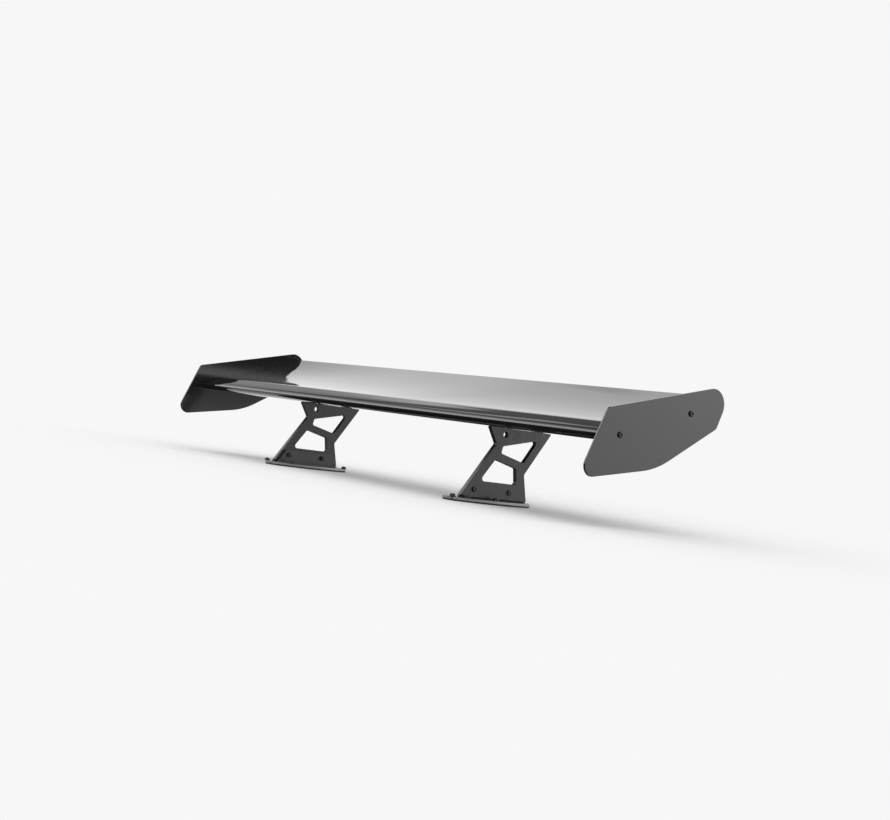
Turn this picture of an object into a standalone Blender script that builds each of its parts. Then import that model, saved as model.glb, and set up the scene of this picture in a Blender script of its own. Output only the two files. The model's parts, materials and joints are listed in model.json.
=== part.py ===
"""Racing rear wing: inverted aerofoil blade, two end plates and two bolt-down uprights.

Metres, +Z up, +X to the car's left side, -Y to the leading edge.  The undersides of the
two base gaskets lie on Z = 0.  Sections are drawn as (Y, Z) outlines in millimetres and
pushed out along X.
"""
import math

import bmesh
import bpy
from mathutils import Vector

MM = 0.001
Y_DATUM = -1.806         # drawn Y that becomes zero, the middle of the whole part (mm)

# ---------------------------------------------------------------- driving dimensions (mm)
SPAN = 1400.0            # over the outer faces of the end plates
END_PLATE_T = 4.0
GAP = 0.3                # clearance between pieces that touch
CHORD = 285.0
BLADE_NOSE = (-117.0, 160.0)
BLADE_PITCH = 20.1       # chord line above the base plane, degrees
SKIN_T = 2.4
UPRIGHT_OUT = 333.5      # outer face of the left upright
UPRIGHT_T = 9.5
LUG_T = 5.0
PIVOT = (-20.0, 156.2)   # front lug bolt, the tilt axis
CLAMP = (61.0, 173.0)    # rear lug bolt at the steepest setting
TILT_MIN = -8.0          # the slot lets the blade tilt down to this, degrees
FLANGE_T = 3.0           # lug flange against the blade
LUG_SCREWS_Y = (15.0, 38.0, 61.0)
LUG_SCREW_IN = 17.0      # from the upright's inner face to the row of lug screws
HOLE_CLEAR = 0.3         # radial clearance of a bolt in its hole
GASKET_T = 2.5
BASE_T = 5.0
STRIP_T = 2.0
UPSTAND_T = 6.0
UPSTAND_H = 28.5

Z_BASE = GASKET_T + GAP
Z_BASE_TOP = Z_BASE + BASE_T
Z_STRIP = Z_BASE_TOP + GAP
Z_FOOT = Z_STRIP + STRIP_T + GAP
UPRIGHT_IN = UPRIGHT_OUT - UPRIGHT_T
FACE_IN = SPAN / 2 - END_PLATE_T     # inner face of an end plate
BLADE_END = FACE_IN - GAP

# corner (Y, Z, radius)
END_PLATE_OUTLINE = (
    (-132.0, 207.0, 12.0),
    (186.8, 284.9, 31.0),
    (154.3, 199.4, 14.0),
    (6.7, 112.1, 190.0),
    (-183.2, 80.2, 20.0),
)
END_PLATE_SCREWS = ((-96.0, 163.2), (79.0, 219.4))

UPRIGHT_OUTLINE = (
    (-120.9, Z_FOOT, 2.0),
    (-45.3, 117.5, 4.0),
    (-67.1, 150.0, 2.0),
    (97.3, 151.0, 2.0),
    (37.5, 63.4, 7.0),
    (52.2, Z_FOOT, 2.0),
)
WINDOW_HIGH = ((-27.5, 114.2, 4.0), (-30.0, 100.3, 4.0), (32.0, 86.3, 4.0), (64.0, 134.0, 5.0))
WINDOW_LOW = ((-42.8, 86.7, 5.0), (-75.9, 42.5, 6.0), (20.2, 42.0, 5.0), (13.9, 73.7, 4.0))
SPARE_HOLE = (-25.0, 137.2, 5.8)
SIDE_BOLTS = ((-87.0, 25.5), (4.0, 25.5))

BASE_Y = (-143.0, 70.0)
BASE_X_MID = UPRIGHT_OUT - 16.0
BASE_HALF_X = 40.0
# base bolts as (X, Y)
BASE_BOLTS = (
    (UPRIGHT_OUT - 3.5, -136.0),
    (UPRIGHT_OUT + 9.0, -108.0),
    (UPRIGHT_OUT + 13.0, -40.0),
    (UPRIGHT_IN - 24.0, 56.5),
    (UPRIGHT_IN - 26.0, -88.0),
)

# aerofoil offsets from the chord line, (fraction of chord, mm)
UPPER = ((0.006, 3.2), (0.02, 5.1), (0.04, 6.6), (0.075, 7.8), (0.115, 8.7), (0.137, 9.2), (0.15, 9.4),
         (0.163, 9.0), (0.185, 8.0), (0.28, 4.4), (0.42, 0.8), (0.56, -1.15), (0.70, -1.65), (0.85, -0.85),
         (1.0, 0.9))
LOWER = ((0.006, -4.8), (0.02, -9.2), (0.045, -14.4), (0.085, -19.9), (0.14, -24.6), (0.22, -27.6),
         (0.32, -28.3), (0.44, -27.4), (0.58, -24.6), (0.72, -19.4), (0.86, -11.2), (1.0, -0.9))

# ---------------------------------------------------------------- finishes
FINISHES = {
    "gloss_black": ((0.012, 0.012, 0.013), 0.0, 0.09),
    "satin_grey": ((0.070, 0.071, 0.073), 0.35, 0.48),
    "anodised_dark": ((0.060, 0.061, 0.063), 0.55, 0.42),
    "anodised_grey": ((0.110, 0.112, 0.115), 0.60, 0.40),
    "black_oxide": ((0.022, 0.022, 0.023), 0.65, 0.38),
    "zinc_steel": ((0.420, 0.425, 0.430), 0.95, 0.30),
    "raw_aluminium": ((0.560, 0.565, 0.570), 0.95, 0.36),
    "resin": ((0.110, 0.100, 0.085), 0.0, 0.62),
    "black_rubber": ((0.014, 0.014, 0.014), 0.0, 0.85),
}


def finish(key):
    """Return the material of one finish, making it the first time."""
    mat = bpy.data.materials.get(key)
    if mat is None:
        colour, metallic, rough = FINISHES[key]
        mat = bpy.data.materials.new(key)
        mat.use_nodes = True
        shader = mat.node_tree.nodes["Principled BSDF"]
        shader.inputs["Base Color"].default_value = (*colour, 1.0)
        shader.inputs["Metallic"].default_value = metallic
        shader.inputs["Roughness"].default_value = rough
    return mat


# ---------------------------------------------------------------- outlines
def rounded(corners, step=14.0):
    """Turn (Y, Z, radius) corners into a closed outline with round corners."""
    out = []
    count = len(corners)
    for i, (y, z, radius) in enumerate(corners):
        here = Vector((y, z))
        back = (Vector(corners[i - 1][:2]) - here).normalized()
        ahead = (Vector(corners[(i + 1) % count][:2]) - here).normalized()
        if radius <= 0.0:
            out.append((y, z))
            continue
        angle = back.angle(ahead)
        reach = radius / math.tan(angle / 2)
        centre = here + (back + ahead).normalized() * (radius / math.sin(angle / 2))
        start = here + back * reach - centre
        end = here + ahead * reach - centre
        turn = start.angle(end)
        parts = max(2, int(math.degrees(turn) / step + 0.5))
        side = 1.0 if start.x * end.y - start.y * end.x > 0 else -1.0
        for k in range(parts + 1):
            a = side * turn * k / parts
            c, s = math.cos(a), math.sin(a)
            out.append((centre.x + start.x * c - start.y * s, centre.y + start.x * s + start.y * c))
    return out


def disc(y, z, radius, count=16):
    """A round outline."""
    angles = [2 * math.pi * k / count for k in range(count)]
    return [(y + radius * math.cos(a), z + radius * math.sin(a)) for a in angles]


def grown(outline, amount):
    """Move an outline outwards by a small amount (inwards if negative)."""
    area = 0.0
    count = len(outline)
    for i in range(count):
        (y0, z0), (y1, z1) = outline[i - 1], outline[i]
        area += y0 * z1 - y1 * z0
    sign = 1.0 if area > 0 else -1.0
    out = []
    for i in range(count):
        here = Vector(outline[i])
        a = (here - Vector(outline[i - 1])).normalized()
        b = (Vector(outline[(i + 1) % count]) - here).normalized()
        na, nb = Vector((a.y, -a.x)), Vector((b.y, -b.x))
        mid = (na + nb).normalized()
        out.append(tuple(here + mid * (sign * amount / max(0.35, mid.dot(na)))))
    return out


def spline(points, parts):
    """Points on a smooth curve through the given ones."""
    out = []
    last = len(points) - 1
    for i in range(last):
        p0 = points[max(i - 1, 0)]
        p1, p2 = points[i], points[i + 1]
        p3 = points[min(i + 2, last)]
        for k in range(parts):
            t = k / parts
            out.append(tuple(0.5 * (2 * b + (c - a) * t + (2 * a - 5 * b + 4 * c - d) * t * t
                                    + (3 * b - a - 3 * c + d) * t ** 3)
                             for a, b, c, d in zip(p0, p1, p2, p3)))
    out.append(points[-1])
    return out


def on_blade(fraction, offset):
    """World (Y, Z) of a point given along and across the chord line."""
    c, s = math.cos(math.radians(BLADE_PITCH)), math.sin(math.radians(BLADE_PITCH))
    along = fraction * CHORD
    return (BLADE_NOSE[0] + along * c - offset * s, BLADE_NOSE[1] + along * s + offset * c)


def blade_outline():
    """Closed section: trailing edge, over the top to the nose and back underneath."""
    top = [on_blade(f, o) for f, o in reversed(UPPER)]
    under = [on_blade(f, o) for f, o in LOWER]
    return spline(top + [on_blade(0.0, 0.0)] + under, 3)


def underside(y, drop=0.0):
    """Height of the blade's underside at one Y, lowered square to the surface by drop."""
    pts = [p for p in grown(blade_outline(), drop)]
    nose = min(range(len(pts)), key=lambda i: pts[i][0])
    low = pts[nose:]
    for (y0, z0), (y1, z1) in zip(low, low[1:]):
        if y0 <= y <= y1:
            return z0 + (z1 - z0) * (y - y0) / (y1 - y0)
    return low[-1][1]


# ---------------------------------------------------------------- solids
def metres(point):
    """A drawn point in world metres."""
    x, y, z = point
    return Vector((x, y - Y_DATUM, z)) * MM


def skin(name, loops, key):
    """Join equal-length loops of (x, y, z) in mm and close both ends."""
    mesh = bpy.data.meshes.new(name)
    bm = bmesh.new()
    rings = [[bm.verts.new(metres(p)) for p in loop] for loop in loops]
    for a, b in zip(rings, rings[1:]):
        for i in range(len(a)):
            bm.faces.new((a[i - 1], a[i], b[i], b[i - 1]))
    bm.faces.new(rings[0][::-1])
    bm.faces.new(rings[-1])
    bmesh.ops.recalc_face_normals(bm, faces=bm.faces)
    bm.to_mesh(mesh)
    bm.free()
    mesh.materials.append(finish(key))
    obj = bpy.data.objects.new(name, mesh)
    bpy.context.collection.objects.link(obj)
    return obj


def slab(name, outline, x0, x1, key, edge=0.0):
    """Push a (Y, Z) outline from x0 to x1, with chamfered rims when edge is given."""
    if edge <= 0.0:
        rims = ((x0, outline), (x1, outline))
    else:
        small = grown(outline, -edge)
        rims = ((x0, small), (x0 + edge, outline), (x1 - edge, outline), (x1, small))
    return skin(name, [[(x, y, z) for y, z in ring] for x, ring in rims], key)


def flat(name, outline, z0, z1, key, edge=0.0):
    """Push an (X, Y) outline from z0 up to z1."""
    if edge <= 0.0:
        rims = ((z0, outline), (z1, outline))
    else:
        rims = ((z0, outline), (z1 - edge, outline), (z1, grown(outline, -edge)))
    return skin(name, [[(x, y, z) for x, y in ring] for z, ring in rims], key)


def cutter_slab(outline, x0, x1, edge=0.0):
    """A cutter through x0..x1 that also breaks the rims by edge."""
    wide = grown(outline, edge + 0.5)
    rims = [(x0 - 0.5, wide), (x0 + edge, outline), (x1 - edge, outline), (x1 + 0.5, wide)]
    if edge <= 0.0:
        rims = [(x0 - 0.5, outline), (x1 + 0.5, outline)]
    return skin("cutter", [[(x, y, z) for y, z in ring] for x, ring in rims], "zinc_steel")


def cutter_drill(x, y, z0, z1, radius):
    """A vertical round cutter."""
    ring = disc(x, y, radius, 12)
    return skin("cutter", [[(a, b, z) for a, b in ring] for z in (z0, z1)], "zinc_steel")


def combine(obj, tools, mode="DIFFERENCE"):
    """Apply boolean tools to a solid, then remove them."""
    for tool in tools:
        tool.hide_render = True
        tool.display_type = "WIRE"
        mod = obj.modifiers.new("cut", "BOOLEAN")
        mod.operation = mode
        mod.solver = "EXACT"
        mod.object = tool
    depsgraph = bpy.context.evaluated_depsgraph_get()
    mesh = bpy.data.meshes.new_from_object(obj.evaluated_get(depsgraph))
    obj.modifiers.clear()
    old = obj.data
    obj.data = mesh
    mesh.name = obj.name
    bpy.data.meshes.remove(old)
    for tool in tools:
        bpy.data.objects.remove(tool, do_unlink=True)
    return obj


def cutter_rod(origin, axis, radius, start, end):
    """A round cutter along any axis."""
    ring = disc(0.0, 0.0, radius, 12)
    return skin("cutter", [placed(ring, along, origin, axis) for along in (start, end)], "zinc_steel")


def hexagon(radius, count=12):
    """Points spread along a hexagon of this across-corner radius."""
    out = []
    per_side = count // 6
    for k in range(count):
        side, part = divmod(k, per_side)
        a, b = math.radians(60 * side), math.radians(60 * (side + 1))
        t = part / per_side
        out.append((radius * ((1 - t) * math.cos(a) + t * math.cos(b)),
                    radius * ((1 - t) * math.sin(a) + t * math.sin(b))))
    return out


def placed(ring, along, origin, axis):
    """Put a flat ring on a line through origin; axis is the direction the tip points."""
    start, tip = Vector(origin), Vector(axis).normalized()
    u = Vector((0, 1, 0)) if abs(tip.x) > 0.5 else Vector((1, 0, 0))
    v = tip.cross(u)
    return [tuple(start + tip * along + u * a + v * b) for a, b in ring]


def screw(name, origin, axis, shank_r, length, head_r, head_h, key, flange=0.0, dome=0.6):
    """Socket screw: origin under the head, axis towards the tip."""
    ring = [(math.cos(math.pi * k / 6), math.sin(math.pi * k / 6)) for k in range(12)]

    def circle(radius):
        return [(radius * a, radius * b) for a, b in ring]

    socket = head_r * 0.5
    steps = [(length, circle(shank_r - 0.5)), (length - 0.5, circle(shank_r)), (0.0, circle(shank_r))]
    if flange > 0.0:
        steps += [(0.0, circle(flange)), (-1.2, circle(flange)), (-1.2, circle(head_r))]
    else:
        steps += [(0.0, circle(head_r))]
    steps += [(-head_h + dome, circle(head_r)), (-head_h, circle(head_r - dome * 1.1)),
              (-head_h, hexagon(socket)), (-head_h + head_h * 0.55, hexagon(socket))]
    loops = [placed(r, along, origin, axis) for along, r in steps]
    return skin(name, loops, key)


def nut(name, origin, axis, bore_r, across, height, key):
    """Hex nut: origin on its bearing face, axis pointing away from the joint."""
    ring = [(math.cos(math.pi * k / 6), math.sin(math.pi * k / 6)) for k in range(12)]
    outer = hexagon(across / math.sqrt(3))
    bevel = [(a * 0.93, b * 0.93) for a, b in outer]
    bore = [(bore_r * a, bore_r * b) for a, b in ring]
    steps = [(0.0, bore), (0.0, outer), (height - 0.6, outer), (height, bevel), (height, bore)]
    loops = [placed(r, along, origin, axis) for along, r in steps]
    return tube(name, loops, key)


def tube(name, loops, key):
    """Join equal-length loops and close the last one back to the first."""
    mesh = bpy.data.meshes.new(name)
    bm = bmesh.new()
    rings = [[bm.verts.new(metres(p)) for p in loop] for loop in loops]
    for a, b in zip(rings, rings[1:] + rings[:1]):
        for i in range(len(a)):
            bm.faces.new((a[i - 1], a[i], b[i], b[i - 1]))
    bmesh.ops.recalc_face_normals(bm, faces=bm.faces)
    bm.to_mesh(mesh)
    bm.free()
    mesh.materials.append(finish(key))
    obj = bpy.data.objects.new(name, mesh)
    bpy.context.collection.objects.link(obj)
    return obj


def washer(name, origin, axis, inner, outer, height, key):
    """Flat ring: origin on one face, axis towards the other."""
    ring = [(math.cos(math.pi * k / 8), math.sin(math.pi * k / 8)) for k in range(16)]
    steps = [(0.0, inner), (0.0, outer), (height, outer), (height, inner)]
    loops = [placed([(r * a, r * b) for a, b in ring], along, origin, axis) for along, r in steps]
    return tube(name, loops, key)


# ---------------------------------------------------------------- the blade
def lug_screw_lines(side):
    """Origin under the head and direction of each screw that holds a lug to the blade."""
    out = []
    for y in LUG_SCREWS_Y:
        rise = math.atan2(underside(y + 1.0) - underside(y - 1.0), 2.0)
        normal = Vector((0.0, -math.sin(rise), math.cos(rise)))
        face = Vector((side * (UPRIGHT_IN - LUG_SCREW_IN), y, underside(y)))
        out.append((tuple(face - normal * (GAP + FLANGE_T + 0.1)), tuple(normal)))
    return out


def make_blade():
    """Hollow skin open at both ends, end ribs, mounting blocks and a tube spar."""
    outer = blade_outline()
    inner = grown(outer, -SKIN_T)
    # the bore stops where the two skins meet near the trailing edge
    keep = [p for p in inner if p[0] < on_blade(0.93, 0.0)[0]]
    shell = slab("blade_skin", outer, -BLADE_END, BLADE_END, "gloss_black")
    bore = slab("cutter", keep, -BLADE_END - 5.0, BLADE_END + 5.0, "zinc_steel")
    combine(shell, [bore])
    lines = lug_screw_lines(1.0) + lug_screw_lines(-1.0)
    combine(shell, [cutter_rod(origin, axis, 2.5 + HOLE_CLEAR, 1.0, 9.5) for origin, axis in lines])
    fit = [p for p in grown(outer, -SKIN_T - GAP) if p[0] < on_blade(0.86, 0.0)[0]]
    spar_y, spar_z = on_blade(0.27, -11.9)
    for side, tag in ((1.0, "left"), (-1.0, "right")):
        for kind, near, far, key in (("end_rib", BLADE_END - 14.0, BLADE_END - 0.2, "raw_aluminium"),
                                     ("mount_block", UPRIGHT_IN - 29.0, UPRIGHT_IN + 2.0, "resin")):
            lo, hi = sorted((side * near, side * far))
            rib = slab(f"{kind}_{tag}", fit, lo, hi, key)
            tools = [cutter_slab(disc(spar_y, spar_z, 12.5 + GAP), lo, hi)]
            if kind == "end_rib":
                for y, z in END_PLATE_SCREWS:
                    tools.append(cutter_slab(disc(y, z, 3.0 + HOLE_CLEAR, 12), lo, hi))
            else:
                for origin, axis in lug_screw_lines(side):
                    tools.append(cutter_rod(origin, axis, 2.5 + HOLE_CLEAR, 3.0, 17.0))
            combine(rib, tools)
    ring = [(spar_y, spar_z, r) for r in (12.5, 10.5)]
    half = BLADE_END - 1.0
    loops = []
    for x, (y, z, r) in ((-half, ring[0]), (half, ring[0]), (half, ring[1]), (-half, ring[1])):
        loops.append([(x, a, b) for a, b in disc(y, z, r)])
    tube("spar_tube", loops, "raw_aluminium")


def make_end_plates():
    """Flat end plates with a broken edge and two socket screws each."""
    outline = rounded(END_PLATE_OUTLINE)
    for side, tag in ((1.0, "left"), (-1.0, "right")):
        lo, hi = sorted((side * FACE_IN, side * SPAN / 2))
        plate = slab(f"end_plate_{tag}", outline, lo, hi, "satin_grey", 0.5)
        holes = [cutter_slab(disc(y, z, 3.0 + HOLE_CLEAR, 12), lo, hi) for y, z in END_PLATE_SCREWS]
        combine(plate, holes)
        for (y, z), where in zip(END_PLATE_SCREWS, ("front", "rear")):
            origin = (side * (SPAN / 2 + 0.1), y, z)
            screw(f"end_screw_{where}_{tag}", origin, (-side, 0, 0), 3.0, 15.0, 5.4, 3.2,
                  "black_oxide", 0.0, 1.4)


# ---------------------------------------------------------------- uprights
def slot_outline():
    """The clamp bolt's arc, swept round the pivot."""
    dy, dz = CLAMP[0] - PIVOT[0], CLAMP[1] - PIVOT[1]
    reach, start = math.hypot(dy, dz), math.degrees(math.atan2(dz, dy))
    half = 3.0 + HOLE_CLEAR
    angles = [start + TILT_MIN * k / 4 for k in range(5)]

    def at(radius, deg):
        a = math.radians(deg)
        return (PIVOT[0] + radius * math.cos(a), PIVOT[1] + radius * math.sin(a))

    outer = [at(reach + half, a) for a in angles]
    inner = [at(reach - half, a) for a in reversed(angles)]
    low, high = at(reach, angles[-1]), at(reach, angles[0])
    cap_low = [(low[0] + half * math.cos(math.radians(angles[-1] - t)),
                low[1] + half * math.sin(math.radians(angles[-1] - t))) for t in (30, 60, 90, 120, 150)]
    cap_high = [(high[0] + half * math.cos(math.radians(angles[0] + t)),
                 high[1] + half * math.sin(math.radians(angles[0] + t))) for t in (150, 120, 90, 60, 30)]
    return outer + cap_low + inner + cap_high


def ear(centre, radius, foot, half):
    """A rounded tab standing on the top edge."""
    y, z = centre
    top = [(y + radius * math.cos(math.radians(t)), z + radius * math.sin(math.radians(t)))
           for t in range(0, 181, 15)]
    return [(y + half, foot)] + top + [(y - half, foot)]


def make_uprights():
    """Hourglass plates with two windows and two ears on the top edge."""
    outline = rounded(UPRIGHT_OUTLINE)
    high, low = rounded(WINDOW_HIGH), rounded(WINDOW_LOW)
    for side, tag in ((1.0, "left"), (-1.0, "right")):
        lo, hi = sorted((side * UPRIGHT_IN, side * UPRIGHT_OUT))
        plate = slab(f"upright_{tag}", outline, lo, hi, "anodised_dark", 0.5)
        front = slab("cutter", ear(PIVOT, 7.6, 148.0, 11.0), lo, hi, "anodised_dark")
        rear = slab("cutter", ear((CLAMP[0], 170.5), 12.0, 148.0, 12.5), lo, hi, "anodised_dark")
        combine(plate, [front, rear], "UNION")
        cuts = [cutter_slab(high, lo, hi, 0.5), cutter_slab(low, lo, hi, 0.5)]
        cuts.append(cutter_slab(disc(*SPARE_HOLE), lo, hi, 0.4))
        cuts.append(cutter_slab(disc(*PIVOT, 3.0 + HOLE_CLEAR, 12), lo, hi))
        cuts.append(cutter_slab(slot_outline(), lo, hi))
        for y, z in SIDE_BOLTS:
            cuts.append(cutter_slab(disc(y, z, 3.0 + HOLE_CLEAR, 12), lo, hi))
        combine(plate, cuts)


def make_lugs():
    """Angle lugs under the blade: a fin beside each upright and a flange screwed to the blade."""
    fin_ys = [-31.0 + 6.0 * k for k in range(18)]
    fin_top = [(y, underside(y, GAP)) for y in fin_ys]
    low = [(fin_ys[-1], underside(fin_ys[-1], GAP) - 14.0), (71.0, 168.0)]
    low += [(CLAMP[0] + 9.0 * math.cos(math.radians(t)), CLAMP[1] + 9.0 * math.sin(math.radians(t)))
            for t in (-30, -60, -90, -120)]
    low += [(40.0, 172.0), (15.0, 164.0), (-6.0, 153.5)]
    low += [(PIVOT[0] + 7.4 * math.cos(math.radians(t)), PIVOT[1] + 7.4 * math.sin(math.radians(t)))
            for t in (-50, -80, -110, -140, -170)]
    fin = fin_top + low
    shelf_ys = [2.0 + 6.0 * k for k in range(12)]
    shelf = [(y, underside(y, GAP)) for y in shelf_ys]
    shelf += [(y, underside(y, GAP + FLANGE_T)) for y in reversed(shelf_ys)]
    for side, tag in ((1.0, "left"), (-1.0, "right")):
        inner_face = UPRIGHT_IN - GAP
        lo, hi = sorted((side * (inner_face - LUG_T), side * inner_face))
        lug = slab(f"blade_lug_{tag}", fin, lo, hi, "anodised_dark")
        lo2, hi2 = sorted((side * (inner_face - 27.0), side * (inner_face - 0.5)))
        combine(lug, [slab("cutter", shelf, lo2, hi2, "anodised_dark")], "UNION")
        cuts = [cutter_slab(disc(*PIVOT, 3.0 + HOLE_CLEAR, 12), lo, hi),
                cutter_slab(disc(*CLAMP, 3.0 + HOLE_CLEAR, 12), lo, hi)]
        lines = lug_screw_lines(side)
        cuts += [cutter_rod(origin, axis, 2.5 + HOLE_CLEAR, -2.0, 6.0) for origin, axis in lines]
        combine(lug, cuts)
        for k, (origin, axis) in enumerate(lines):
            screw(f"lug_screw_{k + 1}_{tag}", origin, axis, 2.5, 15.5, 4.5, 2.7, "black_oxide", 0.0, 1.1)


def make_lug_bolts():
    """Pivot and clamp bolts, with nuts on the inside of the lug fin."""
    for side, tag in ((1.0, "left"), (-1.0, "right")):
        grip = UPRIGHT_T + GAP + LUG_T
        for (y, z), what in ((PIVOT, "pivot"), (CLAMP, "clamp")):
            head = side * (UPRIGHT_OUT + (1.8 if what == "clamp" else 0.2))
            extra = 1.6 if what == "clamp" else 0.0
            screw(f"{what}_bolt_{tag}", (head, y, z), (-side, 0, 0), 3.0, grip + extra + 7.5, 5.0, 3.6,
                  "black_oxide", 0.0, 0.6)
            nut_face = side * (UPRIGHT_OUT - grip - 0.2)
            nut(f"{what}_nut_{tag}", (nut_face, y, z), (-side, 0, 0), 3.1, 10.0, 5.0, "zinc_steel")
        washer(f"clamp_washer_{tag}", (side * (UPRIGHT_OUT + 0.1), CLAMP[0], CLAMP[1]), (side, 0, 0),
               3.2, 7.6, 1.5, "zinc_steel")


# ---------------------------------------------------------------- bases
def boat(grow=0.0):
    """Boat-shaped base outline as (X, Y) for the left side."""
    mid, half = (BASE_Y[0] + BASE_Y[1]) / 2, (BASE_Y[1] - BASE_Y[0]) / 2 + grow
    wide = BASE_HALF_X + grow
    out = []
    for k in range(36):
        a = 2 * math.pi * k / 36
        c, s = math.cos(a), math.sin(a)
        x = BASE_X_MID + wide * math.copysign(abs(c) ** 0.85, c)
        out.append((x, mid + half * math.copysign(abs(s) ** 0.92, s)))
    return out


def upstand_outline():
    """Web that leans with the upright in front; round shoulders, and a flared foot behind."""
    z0, z1 = Z_BASE_TOP - 1.0, Z_BASE_TOP + UPSTAND_H
    rear, flare, shoulder = 41.0, 12.0, 15.0
    out = [(rear + flare, z0, 0.0)]
    for t in range(0, 91, 15):
        a = math.radians(t)
        out.append((rear + flare - flare * math.sin(a), z0 + 1.0 + flare - flare * math.cos(a), 0.0))
    for t in range(0, 91, 15):
        a = math.radians(t)
        out.append((rear - shoulder + shoulder * math.cos(a), z1 - shoulder + shoulder * math.sin(a), 0.0))
    return rounded(out + [(-94.4, z1, 8.0), (-113.4, z0 + 2.5, 3.0), (-116.5, z0, 0.0)])


def make_bases():
    """Gasket, base bracket with an upstand, foot strip and every fixing of both sides."""
    web = upstand_outline()
    for side, tag in ((1.0, "left"), (-1.0, "right")):
        plan = [(side * x, y) for x, y in boat()]
        pad = [(side * x, y) for x, y in boat(-0.6)]
        gasket = flat(f"base_gasket_{tag}", pad, 0.0, GASKET_T, "black_rubber")
        base = flat(f"base_bracket_{tag}", plan, Z_BASE, Z_BASE_TOP, "anodised_grey", 0.8)
        face = UPRIGHT_IN - GAP
        lo, hi = sorted((side * (face - UPSTAND_T), side * face))
        combine(base, [slab("cutter", web, lo, hi, "anodised_grey")], "UNION")
        holes = [cutter_drill(side * x, y, Z_BASE - 1.0, Z_BASE_TOP + 1.0, 3.0 + HOLE_CLEAR)
                 for x, y in BASE_BOLTS]
        holes += [cutter_slab(disc(y, z, 3.0 + HOLE_CLEAR, 12), lo, hi) for y, z in SIDE_BOLTS]
        combine(base, holes)
        combine(gasket, [cutter_drill(side * x, y, -1.0, GASKET_T + 1.2, 3.5) for x, y in BASE_BOLTS])
        lo, hi = sorted((side * (UPRIGHT_IN + 0.5), side * (UPRIGHT_OUT - 0.5)))
        strip = ((lo, -119.0), (hi, -119.0), (hi, 50.5), (lo, 50.5))
        flat(f"foot_strip_{tag}", strip, Z_STRIP, Z_STRIP + STRIP_T, "black_rubber")
        for k, (x, y) in enumerate(BASE_BOLTS):
            screw(f"base_bolt_{k + 1}_{tag}", (side * x, y, Z_BASE_TOP + 0.1), (0, 0, -1), 3.0,
                  Z_BASE_TOP - 0.4, 5.0, 5.4, "black_oxide", 6.4)
        for (y, z), where in zip(SIDE_BOLTS, ("front", "rear")):
            screw(f"side_bolt_{where}_{tag}", (side * (UPRIGHT_OUT + 0.1), y, z), (-side, 0, 0), 3.0,
                  UPRIGHT_T + GAP + UPSTAND_T + 7.2, 5.3, 3.2, "black_oxide", 0.0, 1.3)
            nut(f"side_nut_{where}_{tag}", (side * (face - UPSTAND_T - 0.1), y, z), (-side, 0, 0),
                3.1, 10.0, 5.0, "black_oxide")


def main():
    for obj in list(bpy.data.objects):
        bpy.data.objects.remove(obj, do_unlink=True)
    make_blade()
    make_end_plates()
    make_uprights()
    make_lugs()
    make_lug_bolts()
    make_bases()


main()
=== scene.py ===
import json
import math

import bmesh
import bpy
from mathutils import Matrix, Vector

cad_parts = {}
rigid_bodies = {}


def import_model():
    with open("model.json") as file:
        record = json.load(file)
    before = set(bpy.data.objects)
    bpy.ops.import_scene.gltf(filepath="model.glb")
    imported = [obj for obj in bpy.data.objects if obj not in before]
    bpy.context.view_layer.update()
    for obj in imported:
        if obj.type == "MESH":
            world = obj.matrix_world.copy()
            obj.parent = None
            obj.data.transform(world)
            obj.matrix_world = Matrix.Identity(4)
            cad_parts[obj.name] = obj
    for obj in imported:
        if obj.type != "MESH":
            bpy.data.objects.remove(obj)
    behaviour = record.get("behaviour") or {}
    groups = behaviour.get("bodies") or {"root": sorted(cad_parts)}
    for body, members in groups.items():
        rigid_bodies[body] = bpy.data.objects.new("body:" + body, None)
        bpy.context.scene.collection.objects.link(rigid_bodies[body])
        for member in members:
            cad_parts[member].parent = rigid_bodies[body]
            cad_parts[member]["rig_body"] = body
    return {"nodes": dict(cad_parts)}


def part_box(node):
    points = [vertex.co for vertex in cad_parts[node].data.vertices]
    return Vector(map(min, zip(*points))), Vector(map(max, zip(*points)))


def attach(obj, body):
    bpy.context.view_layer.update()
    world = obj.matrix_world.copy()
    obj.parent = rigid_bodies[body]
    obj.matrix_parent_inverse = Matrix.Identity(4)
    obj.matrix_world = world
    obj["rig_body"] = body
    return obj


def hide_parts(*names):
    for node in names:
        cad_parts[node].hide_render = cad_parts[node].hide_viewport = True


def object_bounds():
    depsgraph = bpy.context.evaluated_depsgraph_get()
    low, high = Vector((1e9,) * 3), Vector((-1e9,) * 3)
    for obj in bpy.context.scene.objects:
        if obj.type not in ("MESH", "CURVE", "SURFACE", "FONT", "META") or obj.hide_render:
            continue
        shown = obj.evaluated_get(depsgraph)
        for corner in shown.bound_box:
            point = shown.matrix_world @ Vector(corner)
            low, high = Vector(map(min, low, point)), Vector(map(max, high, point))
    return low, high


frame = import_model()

MM = 0.001
CAD_LOW, CAD_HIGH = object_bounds()
NODES = frame["nodes"]

# ------------------------------------------------------------------ shapes, drawn in mm
PITCH = math.radians(20.1)           # blade chord line
NOSE = (-117.0, 160.0)
CHORD = 285.0
SKIN_T = 2.4
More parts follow.
